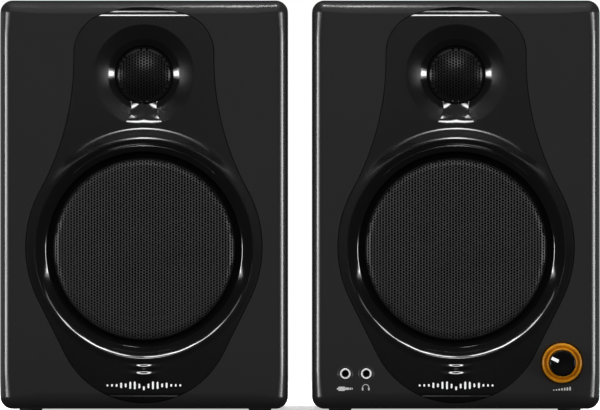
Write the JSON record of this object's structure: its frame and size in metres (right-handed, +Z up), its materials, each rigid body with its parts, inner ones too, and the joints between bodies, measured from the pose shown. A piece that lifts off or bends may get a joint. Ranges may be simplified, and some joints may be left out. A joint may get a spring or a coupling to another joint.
{
  "type": "desktop speakers",
  "caption": "Pair of black desktop speakers with gloss keyhole-shaped fronts, perforated woofer and tweeter grilles, and an amber-ringed volume knob and jacks on the right one.",
  "frame": {"origin": "on the desk, at the middle of the pair's bounding box", "axes": "+Z up; the fronts face -Y; +X to the right as seen from the front, from the passive speaker to the active one"},
  "size_m": [0.3376, 0.202, 0.233],
  "materials": {
    "cabinet_wrap": "fine-grained matt black wrap over board",
    "back_board": "painted board, matt black",
    "baffle_plastic": "satin moulded black",
    "gloss_inlay": "polished black",
    "grille_mesh": "satin black, perforated",
    "basket_metal": "black enamel",
    "surround_rubber": "matt",
    "cone_paper": "coated pulp, matt",
    "spider_cloth": "resin-treated weave",
    "copper_winding": "enamelled wire",
    "magnet_ferrite": "matt ceramic grey",
    "bare_steel": "zinc plated",
    "silk_dome": "coated weave",
    "moulded_black": "fine spark texture",
    "foot_rubber": "matt",
    "screw_steel": "black zinc",
    "lever_red": "smooth",
    "lever_black": "smooth",
    "circuit_board": "lacquered",
    "knob_gloss": "polished black",
    "ring_amber": "translucent amber, lit from behind",
    "pot_metal": "satin",
    "bright_metal": "plated",
    "amp_plate_metal": "black powder coat",
    "core_steel": "stacked laminations, varnished"
  },
  "bodies": {
    "active_speaker": {"right_cabinet": "cabinet_wrap", "right_back_panel": "back_board", "right_front_baffle": "baffle_plastic", "right_waveguide_panel": "gloss_inlay", "right_woofer_grille": "grille_mesh", "right_tweeter_grille": "grille_mesh", "right_woofer_basket": "basket_metal", "right_woofer_surround": "surround_rubber", "right_woofer_spider": "spider_cloth", "right_woofer_magnet": "magnet_ferrite", "right_woofer_yoke": "bare_steel", "right_tweeter_motor": "basket_metal", "right_port_tube": "moulded_black", "right_feet": "foot_rubber", "right_screws": "screw_steel", "right_terminal_cup": "moulded_black", "knob_ring": "ring_amber", "volume_pot": "pot_metal", "front_board": "circuit_board", "front_jacks": "moulded_black", "jack_rings": "bright_metal", "amp_plate": "amp_plate_metal", "amp_board": "circuit_board", "transformer": "core_steel", "power_inlet": "moulded_black", "power_switch": "moulded_black", "usb_port": "bright_metal", "line_inputs": "bright_metal"},
    "passive_speaker": {"left_cabinet": "cabinet_wrap", "left_back_panel": "back_board", "left_front_baffle": "baffle_plastic", "left_waveguide_panel": "gloss_inlay", "left_woofer_grille": "grille_mesh", "left_tweeter_grille": "grille_mesh", "left_woofer_basket": "basket_metal", "left_woofer_surround": "surround_rubber", "left_woofer_spider": "spider_cloth", "left_woofer_magnet": "magnet_ferrite", "left_woofer_yoke": "bare_steel", "left_tweeter_motor": "basket_metal", "left_port_tube": "moulded_black", "left_feet": "foot_rubber", "left_screws": "screw_steel", "left_terminal_cup": "moulded_black", "left_crossover": "circuit_board"},
    "volume_control": {"volume_knob": "knob_gloss", "pot_shaft": "pot_metal"},
    "rocker": {"power_rocker": "knob_gloss"},
    "left_woofer_cone_body": {"left_woofer_cone": "cone_paper", "left_woofer_dust_cap": "cone_paper", "left_woofer_voice_coil": "copper_winding"},
    "left_tweeter_dome_body": {"left_tweeter_dome": "silk_dome"},
    "left_red_lever_body": {"left_red_lever": "lever_red"},
    "left_black_lever_body": {"left_black_lever": "lever_black"},
    "right_woofer_cone_body": {"right_woofer_cone": "cone_paper", "right_woofer_dust_cap": "cone_paper", "right_woofer_voice_coil": "copper_winding"},
    "right_tweeter_dome_body": {"right_tweeter_dome": "silk_dome"},
    "right_red_lever_body": {"right_red_lever": "lever_red"},
    "right_black_lever_body": {"right_black_lever": "lever_black"}
  },
  "joints": [
    {"name": "left_speaker_place", "type": "slide", "parent": "active_speaker", "child": "passive_speaker", "axis": [1, 0, 0], "range_m": [-0.3, 0]},
    {"name": "volume_turn", "type": "hinge", "parent": "active_speaker", "child": "volume_control", "pos_m": [0.14725, -0.089, 0.029], "axis": [0, 1, 0], "range_deg": [-86, 214]},
    {"name": "power_rock", "type": "hinge", "parent": "active_speaker", "child": "rocker", "pos_m": [0.04975, 0.092, 0.069], "axis": [1, 0, 0], "range_deg": [0, 16]},
    {"name": "left_woofer_travel", "type": "slide", "parent": "passive_speaker", "child": "left_woofer_cone_body", "axis": [0, 1, 0], "range_m": [-0.003, 0.003], "stiffness_N_per_m": 1200, "deforming": ["left_woofer_surround", "left_woofer_spider"]},
    {"name": "left_tweeter_travel", "type": "slide", "parent": "passive_speaker", "child": "left_tweeter_dome_body", "axis": [0, 1, 0], "range_m": [-0.0003, 0.0003], "stiffness_N_per_m": 500},
    {"name": "left_red_lever_press", "type": "hinge", "parent": "passive_speaker", "child": "left_red_lever_body", "pos_m": [-0.09875, 0.086, 0.065], "axis": [1, 0, 0], "range_deg": [-18, 0], "stiffness_Nm_per_rad": 0.15},
    {"name": "left_black_lever_press", "type": "hinge", "parent": "passive_speaker", "child": "left_black_lever_body", "pos_m": [-0.07675, 0.086, 0.065], "axis": [1, 0, 0], "range_deg": [-18, 0], "stiffness_Nm_per_rad": 0.15},
    {"name": "right_woofer_travel", "type": "slide", "parent": "active_speaker", "child": "right_woofer_cone_body", "axis": [0, 1, 0], "range_m": [-0.003, 0.003], "stiffness_N_per_m": 1200, "deforming": ["right_woofer_surround", "right_woofer_spider"]},
    {"name": "right_tweeter_travel", "type": "slide", "parent": "active_speaker", "child": "right_tweeter_dome_body", "axis": [0, 1, 0], "range_m": [-0.0003, 0.0003], "stiffness_N_per_m": 500},
    {"name": "right_red_lever_press", "type": "hinge", "parent": "active_speaker", "child": "right_red_lever_body", "pos_m": [0.09875, 0.088, 0.057], "axis": [1, 0, 0], "range_deg": [-18, 0], "stiffness_Nm_per_rad": 0.15},
    {"name": "right_black_lever_press", "type": "hinge", "parent": "active_speaker", "child": "right_black_lever_body", "pos_m": [0.12075, 0.088, 0.057], "axis": [1, 0, 0], "range_deg": [-18, 0], "stiffness_Nm_per_rad": 0.15}
  ]
}
